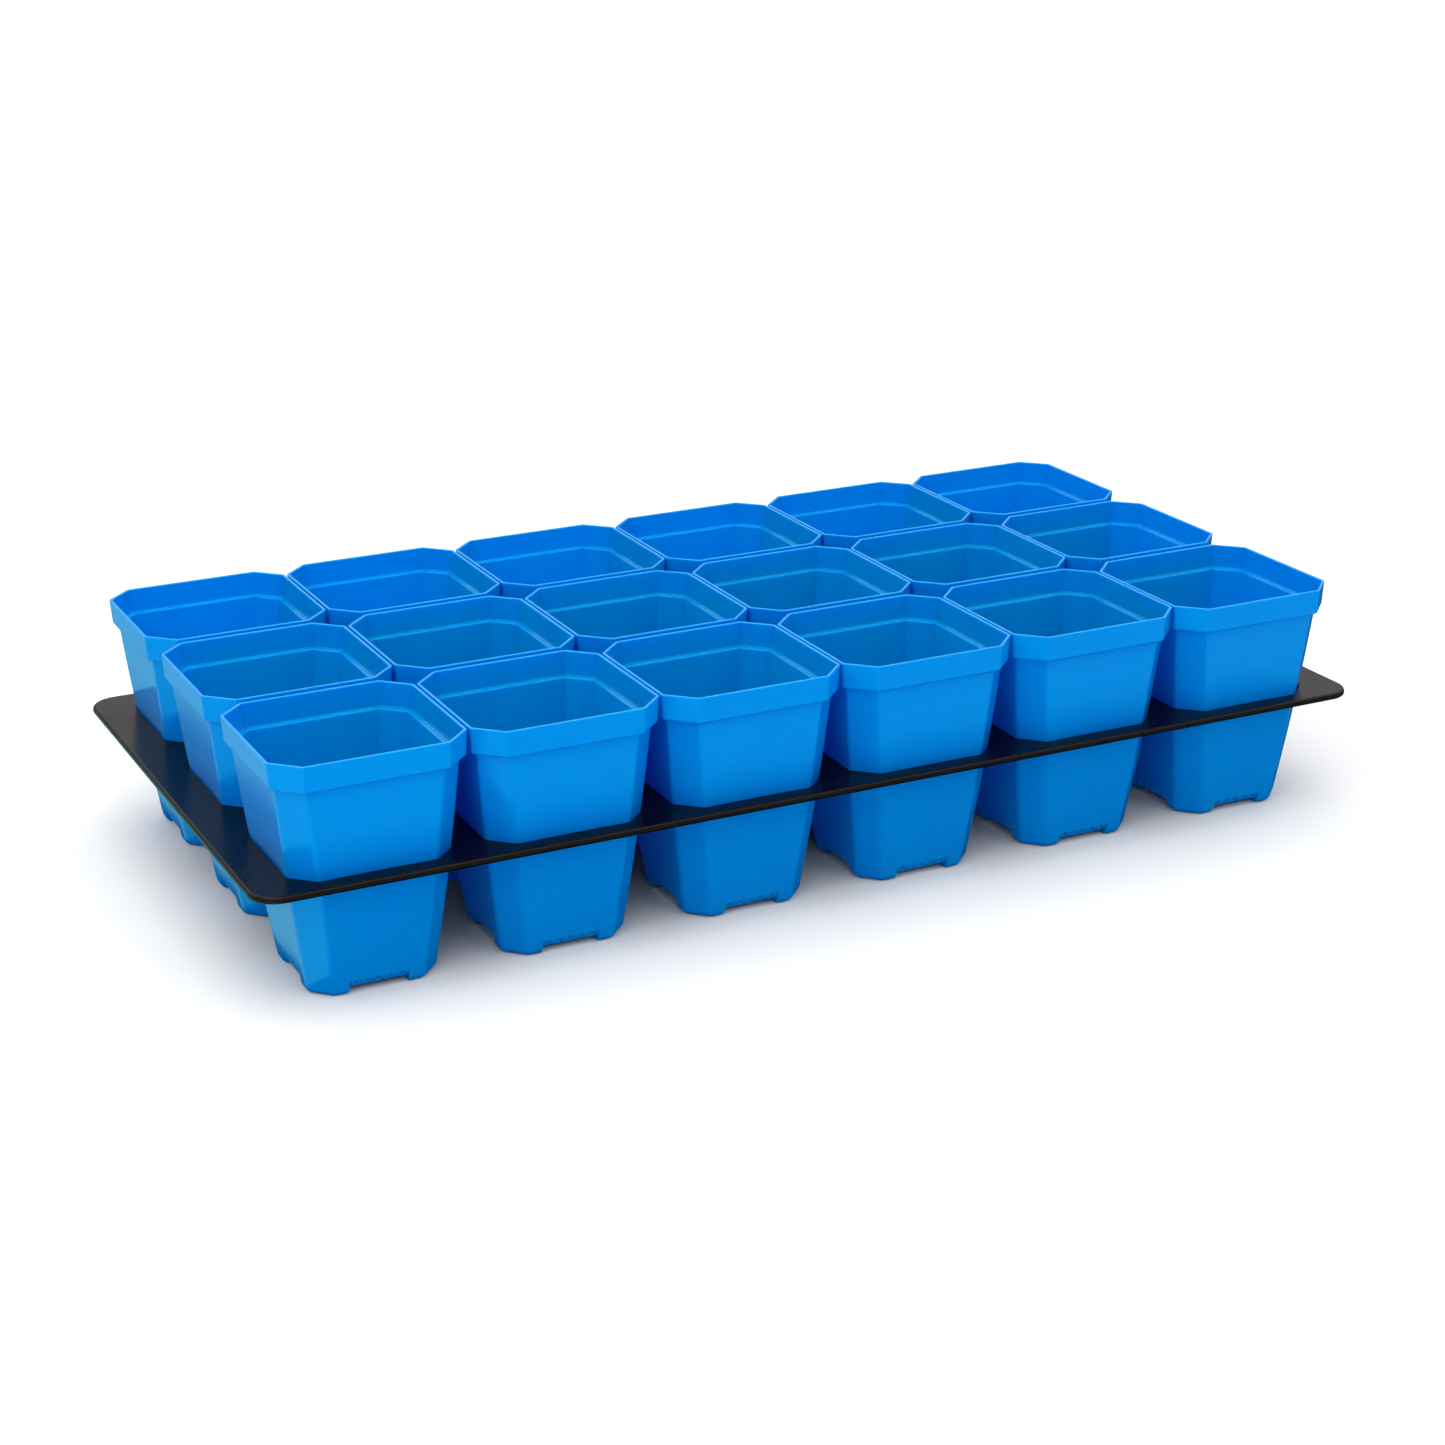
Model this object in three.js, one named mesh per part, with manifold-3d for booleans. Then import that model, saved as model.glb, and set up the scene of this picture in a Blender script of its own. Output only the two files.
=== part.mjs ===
// Carrier plate with eighteen lift-out seedling pots, for a standard 1020 nursery tray.
//
// Units are millimetres. +X runs along the columns, +Y across the rows from front to back, +Z up.
// The origin is the centre of the footprint, on the surface that the pots' feet stand on.
// The plate has one octagonal hole for each pot. A pot drops in from above until its taper
// wedges in the hole, and it lifts straight out again.

import * as THREE from 'three';
import { mergeVertices } from 'three/addons/utils/BufferGeometryUtils.js';
import Module from 'manifold-3d';

// ---- Driving dimensions ----------------------------------------------------------------

const COLUMNS = 6;
const ROW_NAMES = ['front', 'middle', 'back'];
const PITCH_X = 85;
const PITCH_Y = 88;

const POT_HEIGHT = 107;
const RIM_WIDTH = 84;
const RIM_CHAMFER = 11.5;
const BAND_HEIGHT = 11.6;
const BAND_BOTTOM_WIDTH = 82.6;
const BAND_BOTTOM_CHAMFER = 11.1;
const BODY_TOP_WIDTH = 78;
const BODY_TOP_CHAMFER = 10.2;
const BODY_BOTTOM_WIDTH = 56;
const BODY_BOTTOM_CHAMFER = 8.8;
const FOOT_RADIUS = 2.6;
const WALL = 1.3;
const FLOOR = 1.4;

const CHANNEL_WIDTH = 26;
const CHANNEL_HEIGHT = 1.5;
const RECESS_TOP = 6.4;
const RECESS_DEPTH = 0.3;
const BASE_RADIUS = 6;
const SLOTS_PER_SIDE = 5;
const SLOT_PITCH = 5;
const SLOT_WIDTH = 2;
const SLOT_BOTTOM = 3.4;
const SLOT_TOP = 6;
const CENTRE_HOLE_RADIUS = 5;

const PLATE_LENGTH = 532;
const PLATE_WIDTH = 264;
const PLATE_THICKNESS = 3;
const PLATE_TOP = 55.5;
const PLATE_CORNER_RADIUS = 12.5;
const PLATE_EDGE_BEVEL = 0.8;
const SEAT_GAP = 0.3;

const FOOT_STEPS = 1;
const BASE_STEPS = 2;
const CORNER_STEPS = 6;
const CENTRE_HOLE_SIDES = 12;
const CUT_MARGIN = 1;

const BAND_BOTTOM = POT_HEIGHT - BAND_HEIGHT;
const PLATE_BOTTOM = PLATE_TOP - PLATE_THICKNESS;

// ---- Materials -------------------------------------------------------------------------

function potPlastic() {
  return new THREE.MeshStandardMaterial({ color: 0x0a7fe0, roughness: 0.35, metalness: 0 });
}

function platePlastic() {
  return new THREE.MeshStandardMaterial({ color: 0x0b0c0e, roughness: 0.3, metalness: 0 });
}

// ---- Solids: three.js geometry in, manifold booleans between, three.js geometry out ------

const wasm = await Module();
wasm.setup();

function toSolid(geometry) {
  const bare = geometry.clone();
  bare.deleteAttribute('normal');
  bare.deleteAttribute('uv');
  const merged = mergeVertices(bare, 1e-4);
  return new wasm.Manifold(new wasm.Mesh({
    numProp: 3,
    vertProperties: new Float32Array(merged.attributes.position.array),
    triVerts: new Uint32Array(merged.index.array),
  }));
}

function toGeometry(solid) {
  const mesh = solid.getMesh();
  const geometry = new THREE.BufferGeometry();
  geometry.setAttribute('position', new THREE.BufferAttribute(mesh.vertProperties, 3));
  geometry.setIndex(new THREE.BufferAttribute(mesh.triVerts, 1));
  geometry.computeVertexNormals();
  return geometry;
}

function boxSolid(low, high) {
  const geometry = new THREE.BoxGeometry(high[0] - low[0], high[1] - low[1], high[2] - low[2]);
  geometry.translate((low[0] + high[0]) / 2, (low[1] + high[1]) / 2, (low[2] + high[2]) / 2);
  return toSolid(geometry);
}

function cylinderSolid(radius, bottom, top, sides) {
  const geometry = new THREE.CylinderGeometry(radius, radius, top - bottom, sides);
  geometry.rotateX(Math.PI / 2);
  geometry.translate(0, 0, (bottom + top) / 2);
  return toSolid(geometry);
}

// ---- Octagonal outlines: a square of half width `half`, its corners cut back by `chamfer` --

function mix(from, to, amount) {
  return from + (to - from) * amount;
}

function bodyOutline(z) {
  const amount = z / BAND_BOTTOM;
  return {
    half: mix(BODY_BOTTOM_WIDTH, BODY_TOP_WIDTH, amount) / 2,
    chamfer: mix(BODY_BOTTOM_CHAMFER, BODY_TOP_CHAMFER, amount),
  };
}

function bandOutline(z) {
  const amount = (z - BAND_BOTTOM) / BAND_HEIGHT;
  return {
    half: mix(BAND_BOTTOM_WIDTH, RIM_WIDTH, amount) / 2,
    chamfer: mix(BAND_BOTTOM_CHAMFER, RIM_CHAMFER, amount),
  };
}

function inset(outline, distance) {
  return {
    half: outline.half - distance,
    chamfer: outline.chamfer - (2 - Math.SQRT2) * distance,
  };
}

function octagonPoints({ half, chamfer }) {
  const short = half - chamfer;
  return [
    [half, -short], [half, short], [short, half], [-short, half],
    [-half, short], [-half, -short], [-short, -half], [short, -half],
  ].map(([x, y]) => new THREE.Vector2(x, y));
}

// A solid through a stack of octagons. Each level is { z, half, chamfer }.
function octagonStack(levels) {
  const layers = levels.length - 1;
  const outline = new THREE.Shape(octagonPoints({ half: 1, chamfer: 0.3 }));
  const geometry = new THREE.ExtrudeGeometry(outline, {
    depth: layers,
    steps: layers,
    bevelEnabled: false,
  });
  const position = geometry.attributes.position;
  for (let i = 0; i < position.count; i += 1) {
    const x = position.getX(i);
    const y = position.getY(i);
    const level = levels[Math.round(position.getZ(i))];
    const short = level.half - level.chamfer;
    const facesX = Math.abs(x) > Math.abs(y);
    position.setXYZ(
      i,
      Math.sign(x) * (facesX ? level.half : short),
      Math.sign(y) * (facesX ? short : level.half),
      level.z,
    );
  }
  return toSolid(geometry);
}

// Levels of the tapered body from its base up, moved inwards by `distance`. The edge of the
// base is rounded with `radius`, in the given number of steps.
function bodyLevels(bottom, top, distance, radius, steps) {
  const levels = [];
  for (let i = 0; i <= steps; i += 1) {
    const angle = (i / steps) * (Math.PI / 2);
    const z = bottom + radius * (1 - Math.cos(angle));
    const rounding = radius * (1 - Math.sin(angle));
    levels.push({ z, ...inset(bodyOutline(z), distance + rounding) });
  }
  levels.push({ z: top, ...inset(bodyOutline(top), distance) });
  return levels;
}

// ---- The pot ---------------------------------------------------------------------------

// Two crossing channels under the base leave four corner feet. Where a channel runs out
// through the wall, the base's edge has a wide radius, and the feet stand out from it.
// `thickness` grows the shape inwards, so the same function gives the underside and the
// floor above it.
function crossChannel(thickness) {
  const half = CHANNEL_WIDTH / 2 + thickness;
  const reach = BODY_TOP_WIDTH / 2;
  const top = RECESS_TOP + thickness;
  const bottom = CHANNEL_HEIGHT + (thickness > 0 ? FLOOR : 0);
  const depth = RECESS_DEPTH + thickness;
  const core = octagonStack(
    bodyLevels(bottom, 2 * BASE_RADIUS, depth, BASE_RADIUS - depth, BASE_STEPS),
  );
  const alongX = boxSolid([-reach, -half, -CUT_MARGIN], [reach, half, top]);
  const alongY = boxSolid([-half, -reach, -CUT_MARGIN], [half, reach, top]);
  return alongX.add(alongY).subtract(core);
}

function potOuter() {
  return octagonStack([
    ...bodyLevels(0, BAND_BOTTOM, 0, FOOT_RADIUS, FOOT_STEPS),
    { z: BAND_BOTTOM, ...bandOutline(BAND_BOTTOM) },
    { z: POT_HEIGHT, ...bandOutline(POT_HEIGHT) },
  ]);
}

function potCavity() {
  const ledge = BAND_BOTTOM + WALL;
  const hollow = octagonStack([
    ...bodyLevels(FLOOR, ledge, WALL, FOOT_RADIUS - WALL, FOOT_STEPS),
    { z: ledge, ...inset(bandOutline(ledge), WALL) },
    { z: POT_HEIGHT, ...inset(bandOutline(POT_HEIGHT), WALL) },
    { z: POT_HEIGHT + CUT_MARGIN, ...inset(bandOutline(POT_HEIGHT), WALL) },
  ]);
  return hollow.subtract(crossChannel(WALL));
}

// Drainage: a row of short slots low in the wall on each side, between the feet, and a round
// hole in the middle through which the root ball is pushed out.
function drainCuts() {
  const outerEnd = BODY_BOTTOM_WIDTH / 2 + CUT_MARGIN;
  const slot = boxSolid(
    [outerEnd - BASE_RADIUS - CUT_MARGIN, -SLOT_WIDTH / 2, SLOT_BOTTOM],
    [outerEnd, SLOT_WIDTH / 2, SLOT_TOP],
  );
  let cuts = cylinderSolid(CENTRE_HOLE_RADIUS, 0, SLOT_TOP, CENTRE_HOLE_SIDES);
  for (let i = 0; i < SLOTS_PER_SIDE; i += 1) {
    const offset = (i - (SLOTS_PER_SIDE - 1) / 2) * SLOT_PITCH;
    for (let side = 0; side < 4; side += 1) {
      cuts = cuts.add(slot.translate([0, offset, 0]).rotate([0, 0, side * 90]));
    }
  }
  return cuts;
}

function buildPotGeometry() {
  const shell = potOuter().subtract(potCavity());
  return toGeometry(shell.subtract(crossChannel(0)).subtract(drainCuts()));
}

// ---- The carrier plate -----------------------------------------------------------------

function roundedRectangle(length, width, radius) {
  const shape = new THREE.Shape();
  const x = length / 2 - radius;
  const y = width / 2 - radius;
  shape.absarc(x, y, radius, 0, Math.PI / 2, false);
  shape.absarc(-x, y, radius, Math.PI / 2, Math.PI, false);
  shape.absarc(-x, -y, radius, Math.PI, 1.5 * Math.PI, false);
  shape.absarc(x, -y, radius, 1.5 * Math.PI, 2 * Math.PI, false);
  return shape;
}

function potCentres() {
  const centres = [];
  ROW_NAMES.forEach((rowName, row) => {
    for (let column = 0; column < COLUMNS; column += 1) {
      centres.push({
        name: `pot_${rowName}_${column + 1}`,
        x: (column - (COLUMNS - 1) / 2) * PITCH_X,
        y: (row - (ROW_NAMES.length - 1) / 2) * PITCH_Y,
      });
    }
  });
  return centres;
}

// The plate's outer edge is bevelled, and each hole tapers with the pot that wedges in it.
function buildPlateGeometry() {
  const outline = roundedRectangle(
    PLATE_LENGTH - 2 * PLATE_EDGE_BEVEL,
    PLATE_WIDTH - 2 * PLATE_EDGE_BEVEL,
    PLATE_CORNER_RADIUS - PLATE_EDGE_BEVEL,
  );
  const blank = new THREE.ExtrudeGeometry(outline, {
    depth: PLATE_THICKNESS - 2 * PLATE_EDGE_BEVEL,
    curveSegments: CORNER_STEPS,
    bevelThickness: PLATE_EDGE_BEVEL,
    bevelSize: PLATE_EDGE_BEVEL,
    bevelSegments: 1,
  });
  blank.translate(0, 0, PLATE_BOTTOM + PLATE_EDGE_BEVEL);
  const hole = octagonStack([PLATE_BOTTOM - CUT_MARGIN, PLATE_TOP + CUT_MARGIN].map(
    (z) => ({ z, ...inset(bodyOutline(z), -SEAT_GAP) }),
  ));
  let plate = toSolid(blank);
  for (const { x, y } of potCentres()) {
    plate = plate.subtract(hole.translate([x, y, 0]));
  }
  return toGeometry(plate);
}

// ---- Assembly --------------------------------------------------------------------------

function addMesh(parent, name, geometry, material) {
  const mesh = new THREE.Mesh(geometry, material);
  mesh.name = name;
  parent.add(mesh);
  return mesh;
}

const group = new THREE.Group();
addMesh(group, 'carrier_plate', buildPlateGeometry(), platePlastic());

const potGeometry = buildPotGeometry();
for (const { name, x, y } of potCentres()) {
  addMesh(group, name, potGeometry, potPlastic()).position.set(x, y, 0);
}

export default group;
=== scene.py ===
"""Looks for the seedling pot carrier: detailed pots and plate, materials, lights and camera.

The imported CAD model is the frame. Each pot and the plate gets one detailed piece that stands
for its CAD node, rides on the same body and keeps the same outer sizes.
"""

import math

import bpy
from mathutils import Matrix, Vector


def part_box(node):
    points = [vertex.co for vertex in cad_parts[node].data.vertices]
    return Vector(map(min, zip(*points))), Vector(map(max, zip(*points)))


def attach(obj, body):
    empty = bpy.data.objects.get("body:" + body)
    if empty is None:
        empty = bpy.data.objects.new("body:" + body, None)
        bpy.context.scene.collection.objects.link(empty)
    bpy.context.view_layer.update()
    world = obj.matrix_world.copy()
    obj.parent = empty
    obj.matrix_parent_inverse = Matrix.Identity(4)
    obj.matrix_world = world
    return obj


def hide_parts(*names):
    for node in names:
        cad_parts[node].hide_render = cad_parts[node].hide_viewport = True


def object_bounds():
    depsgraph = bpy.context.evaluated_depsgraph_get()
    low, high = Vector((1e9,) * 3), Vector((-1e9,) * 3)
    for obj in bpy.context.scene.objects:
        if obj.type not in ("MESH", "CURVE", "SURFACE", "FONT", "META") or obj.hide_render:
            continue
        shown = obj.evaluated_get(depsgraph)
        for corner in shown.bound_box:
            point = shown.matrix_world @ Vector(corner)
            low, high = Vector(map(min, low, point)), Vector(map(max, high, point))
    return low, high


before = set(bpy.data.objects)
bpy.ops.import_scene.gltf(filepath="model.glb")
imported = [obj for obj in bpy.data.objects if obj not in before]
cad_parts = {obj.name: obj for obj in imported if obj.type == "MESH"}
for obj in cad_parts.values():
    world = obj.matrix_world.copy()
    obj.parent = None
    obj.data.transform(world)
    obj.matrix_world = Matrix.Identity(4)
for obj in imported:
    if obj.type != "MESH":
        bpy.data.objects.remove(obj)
cad_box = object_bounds()

MM = 0.001

# ---- Driving sizes, in millimetres ------------------------------------------------------
#
# They are the CAD model's, apart from rounder feet, a deeper recess over the channels and
# slightly larger slots.

POT_HEIGHT = 107.0
RIM = (84.0, 11.5)
BAND_FOOT = (82.6, 11.1)
BODY_TOP = (78.0, 10.2)
BODY_BASE = (56.0, 8.8)
BAND_HEIGHT = 11.6
FOOT_RADIUS = 3.2
WALL = 1.3
FLOOR = 1.4

CHANNEL_WIDTH = 26.0
CHANNEL_HEIGHT = 1.5
RECESS_TOP = 6.4
RECESS_DEPTH = 0.55
BASE_RADIUS = 6.0
SLOTS_PER_SIDE = 5
SLOT_WIDTH = 2.2
SLOT_PITCH = 5.0
SLOT_BOTTOM = 3.3
SLOT_TOP = 6.1
CENTRE_HOLE_RADIUS = 5.0

PLATE_THICKNESS = 3.0
PLATE_TOP = 55.5
PLATE_CORNER_RADIUS = 12.5
PLATE_TOP_ROUND = 1.6
PLATE_UNDER_ROUND = 0.8
SEAT_GAP = 0.3
HOLE_ROUND = 0.5

# Radii of the moulded edges, the ledge's height over the band's foot, and how far a side
# bulges from its base to the band and is drawn in at its middle.
CORNER_RADIUS = 1.8
BASE_CORNER_RADIUS = 3.8
SMALLEST_RADIUS = 0.35
STEP_FILLET = 1.1
BAND_LIP_RADIUS = 0.9
RIM_ROUND = 0.45
LEDGE_ROUND = 0.6
LEDGE_RISE = 0.7
PANEL_BOW = 0.4
PANEL_BULGE = 0.8

BAND_BOTTOM = POT_HEIGHT - BAND_HEIGHT
LEDGE = BAND_BOTTOM + LEDGE_RISE

# Mesh fineness.
CORNER_STEPS = 4
SIDE_STEPS = 6
BASE_STEPS = 7
BODY_STEPS = 8
ROUND_STEPS = 3
CORNER_FAN = 10
HOLE_SIDES = 32
SLOT_END_STEPS = 6
CUT_MARGIN = 1.0
FINE_BEVEL = 0.25
BEVEL_ANGLE = 38

# ---- Octagonal rings --------------------------------------------------------------------


def mix(a, b, t):
    return a + (b - a) * t


def body_outline(z):
    t = z / BAND_BOTTOM
    return mix(BODY_BASE[0], BODY_TOP[0], t), mix(BODY_BASE[1], BODY_TOP[1], t)


def band_outline(z):
    t = (z - BAND_BOTTOM) / BAND_HEIGHT
    return mix(BAND_FOOT[0], RIM[0], t), mix(BAND_FOOT[1], RIM[1], t)


def arc(steps, start, end):
    """Pairs (cos, sin) along an arc from start to end degrees, both ends included."""
    angles = [math.radians(mix(start, end, i / steps)) for i in range(steps + 1)]
    return [(math.cos(a), math.sin(a)) for a in angles]


def rounded_corner(support, radius, corner):
    """The arc that joins side number corner of an octagon to the next side."""
    a, b = math.radians(45 * corner), math.radians(45 * (corner + 1))
    da, db = support[corner % 2] - radius, support[(corner + 1) % 2] - radius
    turn = math.sin(b - a)
    x = (da * math.sin(b) - db * math.sin(a)) / turn
    y = (db * math.cos(a) - da * math.cos(b)) / turn
    fan = arc(CORNER_STEPS, 45 * corner, 45 * (corner + 1))
    return [Vector((x + radius * c, y + radius * s)) for c, s in fan]


def ring(z, outline, inset=0.0, bow=0.0, corner_radius=CORNER_RADIUS):
    """Points of a square with cut, rounded corners, moved inwards by inset."""
    width, chamfer = outline
    support = (width / 2 - inset, (width - chamfer) / math.sqrt(2) - inset)
    radius = max(corner_radius - inset, SMALLEST_RADIUS)
    corners = [rounded_corner(support, radius, corner) for corner in range(8)]
    points = []
    for corner in range(8):
        points += corners[corner]
        if corner % 2 == 1:
            start, end = corners[corner][-1], corners[(corner + 1) % 8][0]
            inward = Vector((-1.0, 0.0))
            inward.rotate(Matrix.Rotation(math.radians(45 * (corner + 1)), 2))
            for i in range(1, SIDE_STEPS):
                t = i / SIDE_STEPS
                points.append(start.lerp(end, t) + inward * bow * math.sin(math.pi * t))
    return [Vector((p.x, p.y, z)) for p in points]


def body_ring(z, inset):
    """The body at height z: slightly barrelled, with each long side drawn in at its middle."""
    swell = math.sin(math.pi * z / BAND_BOTTOM)
    corner_radius = mix(BASE_CORNER_RADIUS, CORNER_RADIUS, min(z / BAND_BOTTOM, 1.0))
    return ring(z, body_outline(z), inset - PANEL_BULGE * swell, PANEL_BOW * swell, corner_radius)


def body_rings(bottom, top, inset, radius, steps=1):
    """Rings of the tapered body, moved inwards by inset, with the base's edge rounded by radius."""
    rings = []
    for c, s in arc(BASE_STEPS, 0, 90):
        rings.append(body_ring(bottom + radius * (1 - c), inset + radius * (1 - s)))
    for i in range(1, steps + 1):
        rings.append(body_ring(mix(bottom + radius, top, i / steps), inset))
    return rings


# ---- Meshes and booleans, all in millimetres --------------------------------------------


def new_object(name, verts, faces):
    mesh = bpy.data.meshes.new(name)
    mesh.from_pydata(verts, [], faces)
    mesh.update()
    obj = bpy.data.objects.new(name, mesh)
    bpy.context.scene.collection.objects.link(obj)
    return obj


def loft(rings, centres=((0.0, 0.0),)):
    """A closed solid through the rings, or one copy of it at each centre."""
    count = len(rings[0])
    verts, faces = [], []
    for x, y in centres:
        base = len(verts)
        verts += [p + Vector((x, y, 0.0)) for points in rings for p in points]
        for level in range(len(rings) - 1):
            low, high = base + level * count, base + (level + 1) * count
            for i in range(count):
                j = (i + 1) % count
                faces.append((low + i, low + j, high + j, high + i))
        last = base + (len(rings) - 1) * count
        faces.append(tuple(reversed(range(base, base + count))))
        faces.append(tuple(range(last, last + count)))
    return new_object("solid", verts, faces)


def prism(outline, low, high, place=Matrix.Identity(4)):
    """A closed solid from an outline in X and Y, from Z low to Z high, moved by place."""
    count = len(outline)
    verts = [place @ Vector((x, y, z)) for z in (low, high) for x, y in outline]
    faces = [(i, (i + 1) % count, (i + 1) % count + count, i + count) for i in range(count)]
    faces.append(tuple(reversed(range(count))))
    faces.append(tuple(range(count, 2 * count)))
    return new_object("solid", verts, faces)


def box_solid(half_x, half_y, low, high):
    corners = [(-half_x, -half_y), (half_x, -half_y), (half_x, half_y), (-half_x, half_y)]
    return prism(corners, low, high)


def evaluated_mesh(obj):
    depsgraph = bpy.context.evaluated_depsgraph_get()
    return bpy.data.meshes.new_from_object(obj.evaluated_get(depsgraph))


def apply_modifiers(obj):
    old = obj.data
    obj.data = evaluated_mesh(obj)
    obj.modifiers.clear()
    bpy.data.meshes.remove(old)


def combine(target, tool, operation):
    """Joins tool to target or cuts target with it. The tool is used up."""
    modifier = target.modifiers.new("combine", "BOOLEAN")
    modifier.operation = operation
    modifier.solver = "EXACT"
    modifier.object = tool
    apply_modifiers(target)
    mesh = tool.data
    bpy.data.objects.remove(tool)
    bpy.data.meshes.remove(mesh)
    return target


def finish_mesh(obj, name):
    """Softens the cut edges, sets the shading and turns millimetres into metres."""
    obj.name = name
    bevel = obj.modifiers.new("fine_edges", "BEVEL")
    bevel.width = FINE_BEVEL
    bevel.segments = 2
    bevel.limit_method = "ANGLE"
    bevel.angle_limit = math.radians(BEVEL_ANGLE)
    apply_modifiers(obj)
    mesh = obj.data
    mesh.name = name
    mesh.transform(Matrix.Diagonal((MM, MM, MM, 1.0)))
    mesh.shade_smooth()
    obj.modifiers.new("flat_faces", "WEIGHTED_NORMAL").keep_sharp = True
    apply_modifiers(obj)
    return obj


# ---- The pot ----------------------------------------------------------------------------


def pot_outer():
    rings = body_rings(0.0, BAND_BOTTOM - STEP_FILLET, 0.0, FOOT_RADIUS, BODY_STEPS)
    for c, s in arc(ROUND_STEPS, 0, 90)[1:]:
        rings.append(body_ring(BAND_BOTTOM - STEP_FILLET * (1 - s), -STEP_FILLET * (1 - c)))
    for c, s in arc(ROUND_STEPS, 0, 90):
        z = BAND_BOTTOM + BAND_LIP_RADIUS * (1 - c)
        rings.append(ring(z, band_outline(z), BAND_LIP_RADIUS * (1 - s)))
    for c, s in arc(ROUND_STEPS, 0, 90):
        z = POT_HEIGHT - RIM_ROUND * (1 - s)
        rings.append(ring(z, band_outline(z), RIM_ROUND * (1 - c)))
    return loft(rings)


def pot_cavity():
    rings = body_rings(FLOOR, LEDGE - LEDGE_ROUND, WALL, FOOT_RADIUS - WALL, BODY_STEPS)
    for c, s in arc(ROUND_STEPS, 0, 90)[1:]:
        rings.append(body_ring(LEDGE - LEDGE_ROUND * (1 - s), WALL - LEDGE_ROUND * (1 - c)))
    for c, s in arc(ROUND_STEPS, 0, 90):
        z = LEDGE + LEDGE_ROUND * (1 - c)
        rings.append(ring(z, band_outline(z), WALL + LEDGE_ROUND * (1 - s)))
    for c, s in arc(ROUND_STEPS, 0, 90):
        z = POT_HEIGHT - RIM_ROUND * (1 - s)
        rings.append(ring(z, band_outline(z), WALL - RIM_ROUND * (1 - c)))
    rings.append(ring(POT_HEIGHT + CUT_MARGIN, RIM, WALL - RIM_ROUND))
    return loft(rings)


def cross_channel(thickness):
    """The crossing channels between the feet, grown inwards by thickness."""
    half = CHANNEL_WIDTH / 2 + thickness
    top = RECESS_TOP + thickness
    bottom = CHANNEL_HEIGHT + (FLOOR if thickness else 0.0)
    cross = box_solid(BODY_BASE[0], half, -CUT_MARGIN, top)
    combine(cross, box_solid(half, BODY_BASE[0], -CUT_MARGIN, top), "UNION")
    depth = RECESS_DEPTH + thickness
    core = loft(body_rings(bottom, 2 * BASE_RADIUS, depth, BASE_RADIUS - depth))
    return combine(cross, core, "DIFFERENCE")


def drain_slot(side, offset):
    """A short upright slot with round ends, low in the wall on one side."""
    radius = SLOT_WIDTH / 2
    outline = [(radius * c, SLOT_TOP - radius + radius * s) for c, s in arc(SLOT_END_STEPS, 0, 180)]
    outline += [
        (radius * c, SLOT_BOTTOM + radius + radius * s) for c, s in arc(SLOT_END_STEPS, 180, 360)
    ]
    upright = Matrix(((0, 0, 1, 0), (1, 0, 0, offset), (0, 1, 0, 0), (0, 0, 0, 1)))
    turn = Matrix.Rotation(math.radians(90 * side), 4, "Z")
    outer_end = BODY_BASE[0] / 2 + CUT_MARGIN
    return prism(outline, outer_end - BASE_RADIUS - CUT_MARGIN, outer_end, turn @ upright)


def build_pot():
    cavity = combine(pot_cavity(), cross_channel(WALL), "DIFFERENCE")
    pot = combine(pot_outer(), cavity, "DIFFERENCE")
    combine(pot, cross_channel(0.0), "DIFFERENCE")
    for side in range(4):
        for i in range(SLOTS_PER_SIDE):
            offset = (i - (SLOTS_PER_SIDE - 1) / 2) * SLOT_PITCH
            combine(pot, drain_slot(side, offset), "DIFFERENCE")
    circle = [(CENTRE_HOLE_RADIUS * c, CENTRE_HOLE_RADIUS * s) for c, s in arc(HOLE_SIDES, 0, 360)]
    combine(pot, prism(circle[:-1], -CUT_MARGIN, 2 * FLOOR + CHANNEL_HEIGHT), "DIFFERENCE")
    return finish_mesh(pot, "pot")


# ---- The plate --------------------------------------------------------------------------


def plate_ring(z, low, high, inset):
    """A rounded rectangle between two corners of the plate's box, moved inwards by inset."""
    radius = PLATE_CORNER_RADIUS - inset
    corners = ((high.x, high.y), (low.x, high.y), (low.x, low.y), (high.x, low.y))
    points = []
    for quarter, (x, y) in enumerate(corners):
        cx = x - math.copysign(PLATE_CORNER_RADIUS, x)
        cy = y - math.copysign(PLATE_CORNER_RADIUS, y)
        fan = arc(CORNER_FAN, 90 * quarter, 90 * (quarter + 1))
        points += [Vector((cx + radius * c, cy + radius * s, z)) for c, s in fan]
    return points


def plate_blank(low, high):
    rings = []
    bottom = PLATE_TOP - PLATE_THICKNESS
    for c, s in arc(ROUND_STEPS, 0, 90):
        inset = PLATE_UNDER_ROUND * (1 - s)
        rings.append(plate_ring(bottom + PLATE_UNDER_ROUND * (1 - c), low, high, inset))
    for c, s in arc(2 * ROUND_STEPS, 0, 90):
        inset = PLATE_TOP_ROUND * (1 - c)
        rings.append(plate_ring(PLATE_TOP - PLATE_TOP_ROUND * (1 - s), low, high, inset))
    return loft(rings)


def hole_rings():
    """The hole's tapered wall, flared where it meets the plate's two faces."""
    bottom = PLATE_TOP - PLATE_THICKNESS
    rings = [body_ring(bottom - CUT_MARGIN, -SEAT_GAP - HOLE_ROUND)]
    for c, s in arc(ROUND_STEPS, 90, 0):
        rings.append(body_ring(bottom + HOLE_ROUND * (1 - s), -SEAT_GAP - HOLE_ROUND * (1 - c)))
    for c, s in arc(ROUND_STEPS, 0, 90):
        rings.append(body_ring(PLATE_TOP - HOLE_ROUND * (1 - s), -SEAT_GAP - HOLE_ROUND * (1 - c)))
    rings.append(body_ring(PLATE_TOP + CUT_MARGIN, -SEAT_GAP - HOLE_ROUND))
    return rings


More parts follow.
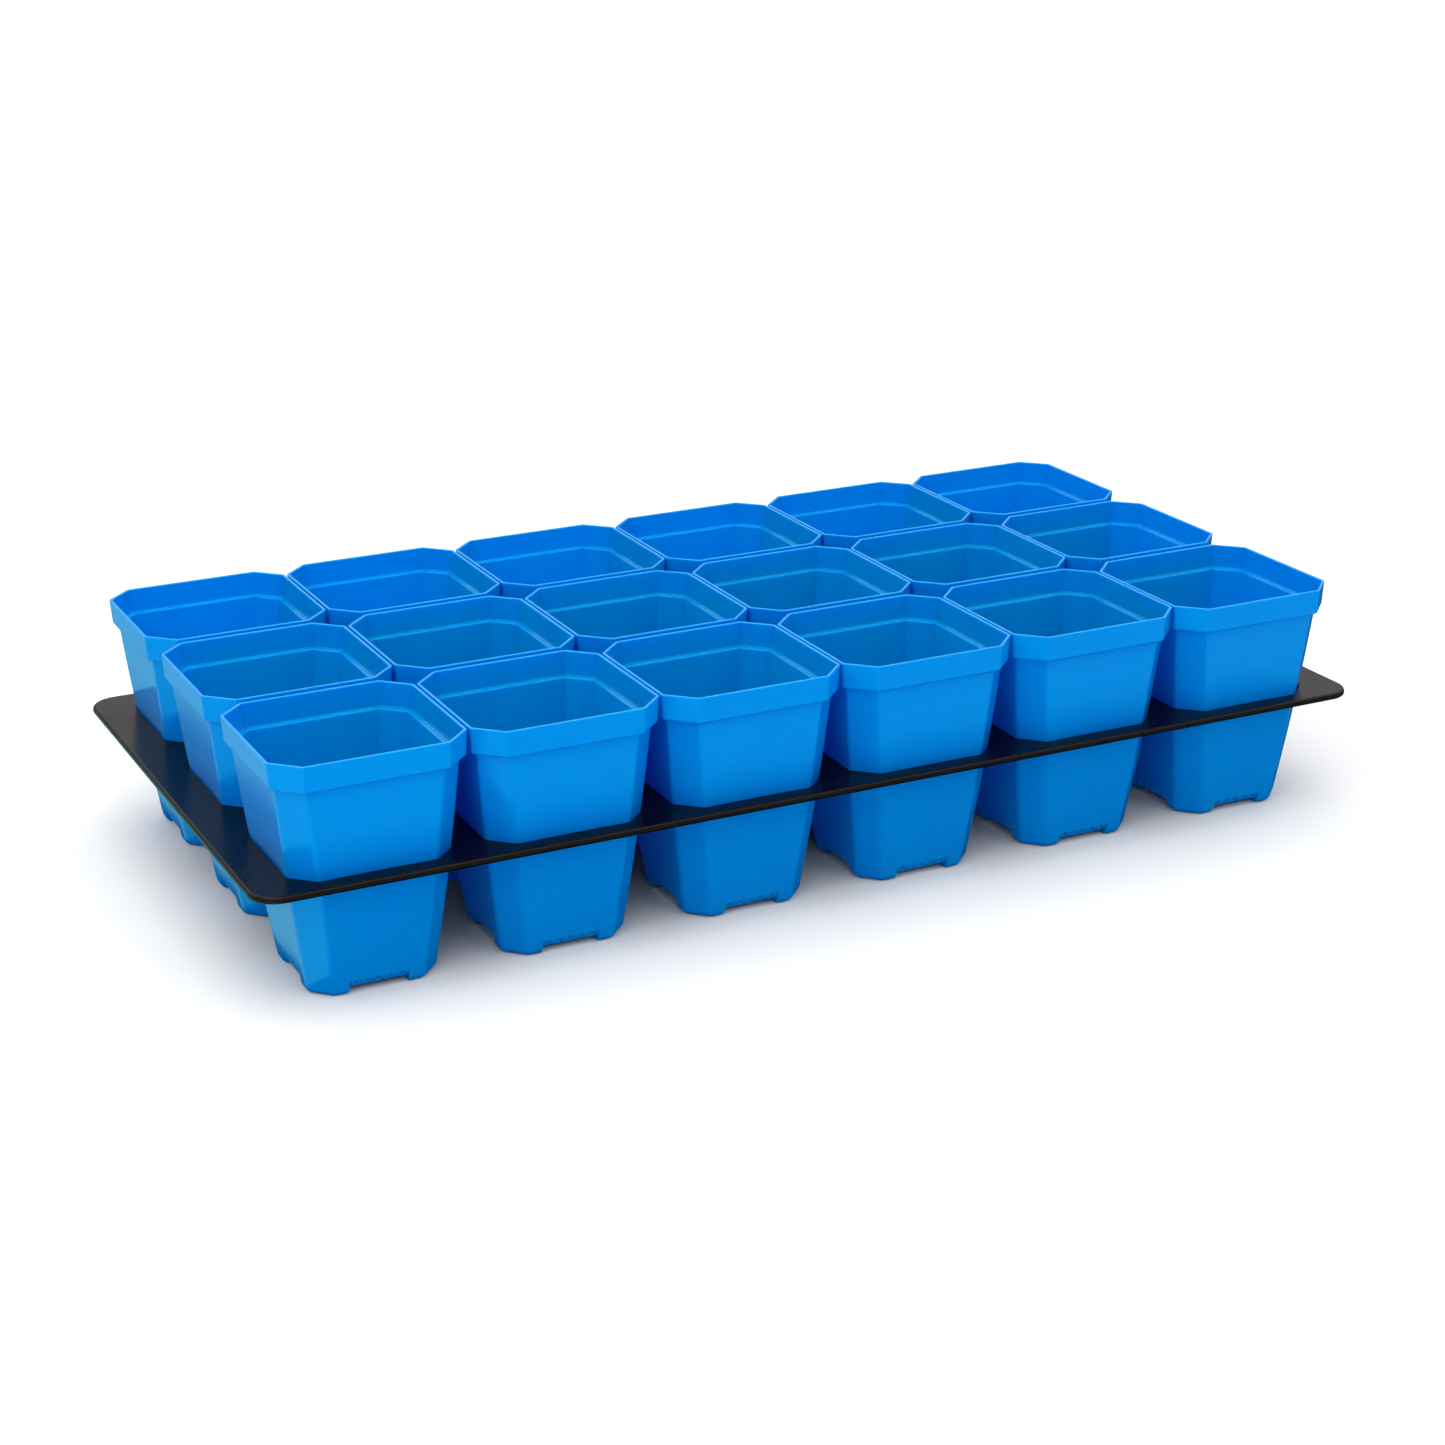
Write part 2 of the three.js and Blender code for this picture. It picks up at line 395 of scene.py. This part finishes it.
def build_plate(centres):
    low, high = (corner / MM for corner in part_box("carrier_plate"))
    plate = plate_blank(low, high)
    combine(plate, loft(hole_rings(), centres), "DIFFERENCE")
    return finish_mesh(plate, "carrier_plate_detail")


# ---- Materials --------------------------------------------------------------------------


class NodeSheet:
    """Adds shader nodes to one material and links them."""

    def __init__(self, name):
        self.material = bpy.data.materials.new(name)
        self.material.use_nodes = True
        self.tree = self.material.node_tree
        self.shader = self.tree.nodes["Principled BSDF"]
        self.coordinates = self.add("ShaderNodeTexCoord").outputs["Object"]

    def add(self, kind, **settings):
        node = self.tree.nodes.new(kind)
        for key, value in settings.items():
            setattr(node, key, value)
        return node

    def link(self, output, target):
        self.tree.links.new(output, target)

    def noise(self, scale, detail, roughness=0.5, stretch=None):
        source = self.coordinates
        if stretch:
            mapping = self.add("ShaderNodeMapping")
            mapping.inputs["Scale"].default_value = stretch
            self.link(source, mapping.inputs["Vector"])
            source = mapping.outputs["Vector"]
        node = self.add("ShaderNodeTexNoise")
        node.inputs["Scale"].default_value = scale
        node.inputs["Detail"].default_value = detail
        node.inputs["Roughness"].default_value = roughness
        self.link(source, node.inputs["Vector"])
        return node.outputs["Fac"]

    def remap(self, value, low, high, to_low, to_high):
        node = self.add("ShaderNodeMapRange")
        for name, number in (
            ("From Min", low), ("From Max", high), ("To Min", to_low), ("To Max", to_high),
        ):
            node.inputs[name].default_value = number
        self.link(value, node.inputs["Value"])
        return node.outputs["Result"]

    def math(self, operation, a, b):
        node = self.add("ShaderNodeMath", operation=operation)
        for socket, value in zip(node.inputs, (a, b)):
            if isinstance(value, (int, float)):
                socket.default_value = value
            else:
                self.link(value, socket)
        return node.outputs["Value"]

    def mix_colour(self, factor, a, b):
        node = self.add("ShaderNodeMix", data_type="RGBA")
        self.link(factor, node.inputs["Factor"])
        for socket, value in (("A", a), ("B", b)):
            target = [s for s in node.inputs if s.name == socket and s.type == "RGBA"][0]
            target.default_value = (*value, 1.0)
        return [s for s in node.outputs if s.type == "RGBA"][0]

    def bump(self, height, distance, strength, normal=None):
        node = self.add("ShaderNodeBump")
        node.inputs["Distance"].default_value = distance
        node.inputs["Strength"].default_value = strength
        self.link(height, node.inputs["Height"])
        if normal:
            self.link(normal, node.inputs["Normal"])
        return node.outputs["Normal"]


# Colours and strengths of the two plastics. Noise scales are features per metre, and bump
# heights and the glow's reach are in metres.
NOISE_RANGE = (0.3, 0.7)
POT_BLUE = (0.0, 0.223, 0.595)
POT_BLUE_DEEP = (0.0, 0.211, 0.575)
POT_GLOW_RADIUS = (0.05, 0.5, 1.0)
POT_GLOW_SCALE = 0.007
POT_GLOW = 0.7
POT_SHEEN = (0.0, 0.9, 1.0)
POT_ROUGHNESS = 0.16
POT_CLOUDING = 0.02
POT_SCUFFING = 0.06
POT_TONE_SCALE = 18.0
POT_CLOUD_SCALE = 60.0
POT_SCUFF_SCALE = 220.0
POT_SCUFF_STRETCH = (1.0, 1.0, 0.15)
POT_SCUFF_RANGE = (0.62, 0.8)
POT_RIPPLE_SCALE = 30.0
POT_RIPPLE_HEIGHT = 0.0001
POT_RIPPLE_STRENGTH = 0.1
POT_GRAIN_SCALE = 1400.0
PLATE_BLACK = (0.0015, 0.0015, 0.0015)
PLATE_DUST = (0.03, 0.03, 0.028)
PLATE_SHEEN = (1.0, 0.7, 0.6)
PLATE_SPECULAR = 0.16
PLATE_ROUGHNESS = (0.2, 0.3)
PLATE_SPECK_SCALE = 700.0
PLATE_SPECK_RANGE = (0.76, 0.8)
PLATE_CLOUD_SCALE = 35.0
PLATE_WAVE_SCALE = 14.0
PLATE_WAVE_HEIGHT = 0.0003
PLATE_WAVE_STRENGTH = 0.15
PLATE_GRAIN_SCALE = 900.0
GRAIN_HEIGHT = 0.00001
GRAIN_STRENGTH = 0.5
PAPER_ROUGHNESS = 0.9


def pot_material():
    sheet = NodeSheet("pot_plastic")
    tone = sheet.remap(sheet.noise(POT_TONE_SCALE, 2.0), *NOISE_RANGE, 0.0, 1.0)
    sheet.link(sheet.mix_colour(tone, POT_BLUE, POT_BLUE_DEEP), sheet.shader.inputs["Base Color"])
    cloud = sheet.noise(POT_CLOUD_SCALE, 4.0)
    cloud = sheet.remap(cloud, *NOISE_RANGE, -POT_CLOUDING, POT_CLOUDING)
    scuff = sheet.noise(POT_SCUFF_SCALE, 6.0, 0.7, POT_SCUFF_STRETCH)
    scuff = sheet.remap(scuff, *POT_SCUFF_RANGE, 0.0, POT_SCUFFING)
    roughness = sheet.math("ADD", sheet.math("ADD", cloud, scuff), POT_ROUGHNESS)
    sheet.link(roughness, sheet.shader.inputs["Roughness"])
    ripple = sheet.noise(POT_RIPPLE_SCALE, 1.0)
    ripple = sheet.bump(ripple, POT_RIPPLE_HEIGHT, POT_RIPPLE_STRENGTH)
    grain = sheet.noise(POT_GRAIN_SCALE, 2.0)
    grain = sheet.bump(grain, GRAIN_HEIGHT, GRAIN_STRENGTH, ripple)
    sheet.link(grain, sheet.shader.inputs["Normal"])
    sheet.shader.inputs["Subsurface Weight"].default_value = POT_GLOW
    sheet.shader.inputs["Subsurface Radius"].default_value = POT_GLOW_RADIUS
    sheet.shader.inputs["Subsurface Scale"].default_value = POT_GLOW_SCALE
    sheet.shader.inputs["Specular Tint"].default_value = (*POT_SHEEN, 1.0)
    return sheet.material


def plate_material():
    sheet = NodeSheet("plate_plastic")
    speck = sheet.remap(sheet.noise(PLATE_SPECK_SCALE, 2.0), *PLATE_SPECK_RANGE, 0.0, 1.0)
    sheet.link(sheet.mix_colour(speck, PLATE_BLACK, PLATE_DUST), sheet.shader.inputs["Base Color"])
    cloud = sheet.noise(PLATE_CLOUD_SCALE, 5.0, 0.6)
    cloud = sheet.remap(cloud, *NOISE_RANGE, *PLATE_ROUGHNESS)
    sheet.link(cloud, sheet.shader.inputs["Roughness"])
    wave = sheet.noise(PLATE_WAVE_SCALE, 1.0)
    wave = sheet.bump(wave, PLATE_WAVE_HEIGHT, PLATE_WAVE_STRENGTH)
    grain = sheet.noise(PLATE_GRAIN_SCALE, 3.0)
    grain = sheet.bump(grain, GRAIN_HEIGHT, GRAIN_STRENGTH, wave)
    sheet.link(grain, sheet.shader.inputs["Normal"])
    sheet.shader.inputs["Specular IOR Level"].default_value = PLATE_SPECULAR
    sheet.shader.inputs["Specular Tint"].default_value = (*PLATE_SHEEN, 1.0)
    return sheet.material


def matt_sheet_material(name, scale, detail, colours):
    """A matt sheet whose colour wanders between the two colours."""
    sheet = NodeSheet(name)
    tone = sheet.remap(sheet.noise(scale, detail), *NOISE_RANGE, 0.0, 1.0)
    sheet.link(sheet.mix_colour(tone, *colours), sheet.shader.inputs["Base Color"])
    sheet.shader.inputs["Roughness"].default_value = PAPER_ROUGHNESS
    return sheet.material


# ---- Pieces on the frame ----------------------------------------------------------------

pot_names = sorted(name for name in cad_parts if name.startswith("pot_"))
pot_centres = {}
for name in pot_names:
    low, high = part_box(name)
    pot_centres[name] = (low + high) / 2

pot_pattern = build_pot()
pot_pattern.data.materials.append(pot_material())
for name in pot_names:
    pot = bpy.data.objects.new(f"{name}_detail", pot_pattern.data)
    bpy.context.scene.collection.objects.link(pot)
    pot.location = (pot_centres[name].x, pot_centres[name].y, 0.0)
    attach(pot, name)
    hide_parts(name)
bpy.data.objects.remove(pot_pattern)

plate = build_plate([(c.x / MM, c.y / MM) for c in pot_centres.values()])
plate.data.materials.append(plate_material())
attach(plate, "carrier")
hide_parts("carrier_plate")

# ---- Floor, lights and camera: metres, degrees and watts --------------------------------
#
# An azimuth of 0 looks along +Y, from the front. The shade's edges are measured from the
# plate's box: inside its left side, and beyond its right side and its front and back.
BACKDROP_RADIUS = 6.0
BACKDROP_STEPS = 12
BACKDROP_FOOT = -5
BACKDROP_TOP = 85
FLOOR_GREYS = ((0.69, 0.69, 0.69), (0.71, 0.71, 0.71))
SHADE_BLUES = ((0.0, 0.03, 0.09), (0.0, 0.04, 0.11))
SHADE_INSET = 0.02
SHADE_REACH = 0.093
SHADE_RIGHT = 0.04
SHADE_DEPTH = 0.001
KEY_AZIMUTH = -55.0
KEY_ELEVATION = 45.0
KEY_DISTANCE = 0.8
KEY_SIZE = 0.5
KEY_POWER = 1.3
KEY_TARGET = Vector((0.0, 0.0, 0.05))
HORIZON_LIGHT = 0.0
ZENITH_LIGHT = 2.5
TABLE_LIGHT = 2.4
TABLE_TINT = (0.32, 0.85, 0.8)
CAMERA_AZIMUTH = -25.96
CAMERA_ELEVATION = 20.2
CAMERA_ROLL = -0.61
CAMERA_DISTANCE = 1.3154
CAMERA_TARGET = Vector((0.0004, -0.0014, 0.0421))
CAMERA_LENS = 69.82
SENSOR_WIDTH = 36.0


def add_sheet(name, low, high, z, material):
    (west, south), (east, north) = low, high
    verts = [(west, south, z), (east, south, z), (east, north, z), (west, north, z)]
    sheet = new_object(name, verts, [(0, 1, 2, 3)])
    sheet.data.materials.append(material)
    return sheet


def backdrop_material():
    sheet = NodeSheet("backdrop_paper")
    sheet.shader.inputs["Emission Color"].default_value = (1.0, 1.0, 1.0, 1.0)
    sheet.shader.inputs["Emission Strength"].default_value = 1.0
    return sheet.material


def add_floor():
    """The floor, and the shaded part of it round the pots, which only reflections show."""
    reach = Vector((BACKDROP_RADIUS, BACKDROP_RADIUS))
    paper = matt_sheet_material("floor_paper", 2.0, 3.0, FLOOR_GREYS)
    floor = add_sheet("floor", -reach, reach, 0.0, paper)
    floor.visible_glossy = False
    low = (cad_box[0].x + SHADE_INSET, cad_box[0].y - SHADE_REACH)
    high = (cad_box[1].x + SHADE_RIGHT, cad_box[1].y + SHADE_REACH)
    # Painted shade: a dark blue matt sheet just under the floor, seen only in reflections, that
    # stands for the floor's shadow under and round the pots.
    paper = matt_sheet_material("table_shade", 3.0, 2.0, SHADE_BLUES)
    shade = add_sheet("floor_shade", low, high, -SHADE_DEPTH, paper)
    shade.visible_camera = False
    shade.visible_diffuse = False
    shade.visible_shadow = False


def add_backdrop():
    """A white paper dome round the floor and from just below it, which only the camera sees."""
    circle = arc(4 * BACKDROP_STEPS, 0, 360)[:-1]
    rings = []
    for c, s in arc(BACKDROP_STEPS, BACKDROP_FOOT, BACKDROP_TOP):
        radius = BACKDROP_RADIUS * c
        rings.append([Vector((radius * x, radius * y, BACKDROP_RADIUS * s)) for x, y in circle])
    dome = loft(rings)
    dome.name = "backdrop"
    dome.data.materials.append(backdrop_material())
    dome.visible_diffuse = False
    dome.visible_glossy = False
    dome.visible_transmission = False
    dome.visible_shadow = False


def add_world():
    """White light that grows from the horizon to overhead, over a table lit from the key's side.

    Glossy rays pass through the floor, so the lower half of the world is what the plastic
    mirrors of the table: brightest on the side that the key light stands on.
    """
    world = bpy.data.worlds.new("studio")
    world.use_nodes = True
    tree = world.node_tree
    background = tree.nodes["Background"]
    direction = tree.nodes.new("ShaderNodeTexCoord").outputs["Generated"]
    split = tree.nodes.new("ShaderNodeSeparateXYZ")
    tree.links.new(direction, split.inputs["Vector"])
    sky = tree.nodes.new("ShaderNodeMapRange")
    sky.inputs["To Min"].default_value = HORIZON_LIGHT
    sky.inputs["To Max"].default_value = ZENITH_LIGHT
    tree.links.new(split.outputs["Z"], sky.inputs["Value"])
    towards_key = tree.nodes.new("ShaderNodeVectorMath")
    towards_key.operation = "DOT_PRODUCT"
    towards_key.inputs[1].default_value = view_axes(KEY_AZIMUTH, 0.0)[2]
    tree.links.new(direction, towards_key.inputs[0])
    table = tree.nodes.new("ShaderNodeMapRange")
    table.inputs["From Min"].default_value = -1.0
    table.inputs["To Max"].default_value = TABLE_LIGHT
    tree.links.new(towards_key.outputs["Value"], table.inputs["Value"])
    below = tree.nodes.new("ShaderNodeMath")
    below.operation = "LESS_THAN"
    below.inputs[1].default_value = 0.0
    tree.links.new(split.outputs["Z"], below.inputs[0])
    for kind, above, under, target in (
        ("FLOAT", sky.outputs["Result"], table.outputs["Result"], "Strength"),
        ("RGBA", (1.0, 1.0, 1.0, 1.0), (*TABLE_TINT, 1.0), "Color"),
    ):
        pick = tree.nodes.new("ShaderNodeMix")
        pick.data_type = kind
        tree.links.new(below.outputs["Value"], pick.inputs["Factor"])
        sockets = [s for s in pick.inputs if s.name in "AB" and s.enabled]
        for socket, value in zip(sockets, (above, under)):
            if isinstance(value, tuple):
                socket.default_value = value
            else:
                tree.links.new(value, socket)
        result = [s for s in pick.outputs if s.enabled][0]
        tree.links.new(result, background.inputs[target])
    bpy.context.scene.world = world


def view_axes(azimuth, elevation, roll=0.0):
    """Right, up and backward unit vectors of a camera that looks at the part."""
    a, e, r = (math.radians(v) for v in (azimuth, elevation, roll))
    right = Vector((math.cos(a), math.sin(a), 0.0))
    back = Vector((math.sin(a) * math.cos(e), -math.cos(a) * math.cos(e), math.sin(e)))
    up = back.cross(right)
    return (
        right * math.cos(r) + up * math.sin(r),
        up * math.cos(r) - right * math.sin(r),
        back,
    )


def aimed(obj, azimuth, elevation, distance, target, roll=0.0):
    right, up, back = view_axes(azimuth, elevation, roll)
    turn = Matrix((right, up, back)).transposed().to_4x4()
    obj.matrix_world = Matrix.Translation(target + back * distance) @ turn
    bpy.context.scene.collection.objects.link(obj)


def add_key_light():
    light = bpy.data.lights.new("key", "AREA")
    light.size = KEY_SIZE
    light.energy = KEY_POWER
    obj = bpy.data.objects.new("key", light)
    aimed(obj, KEY_AZIMUTH, KEY_ELEVATION, KEY_DISTANCE, KEY_TARGET)


def add_camera():
    camera = bpy.data.cameras.new("camera")
    camera.lens = CAMERA_LENS
    camera.sensor_width = SENSOR_WIDTH
    obj = bpy.data.objects.new("camera", camera)
    aimed(obj, CAMERA_AZIMUTH, CAMERA_ELEVATION, CAMERA_DISTANCE, CAMERA_TARGET, CAMERA_ROLL)
    bpy.context.scene.camera = obj


add_floor()
add_backdrop()
add_world()
add_key_light()
add_camera()
bpy.context.scene.view_settings.view_transform = "Standard"
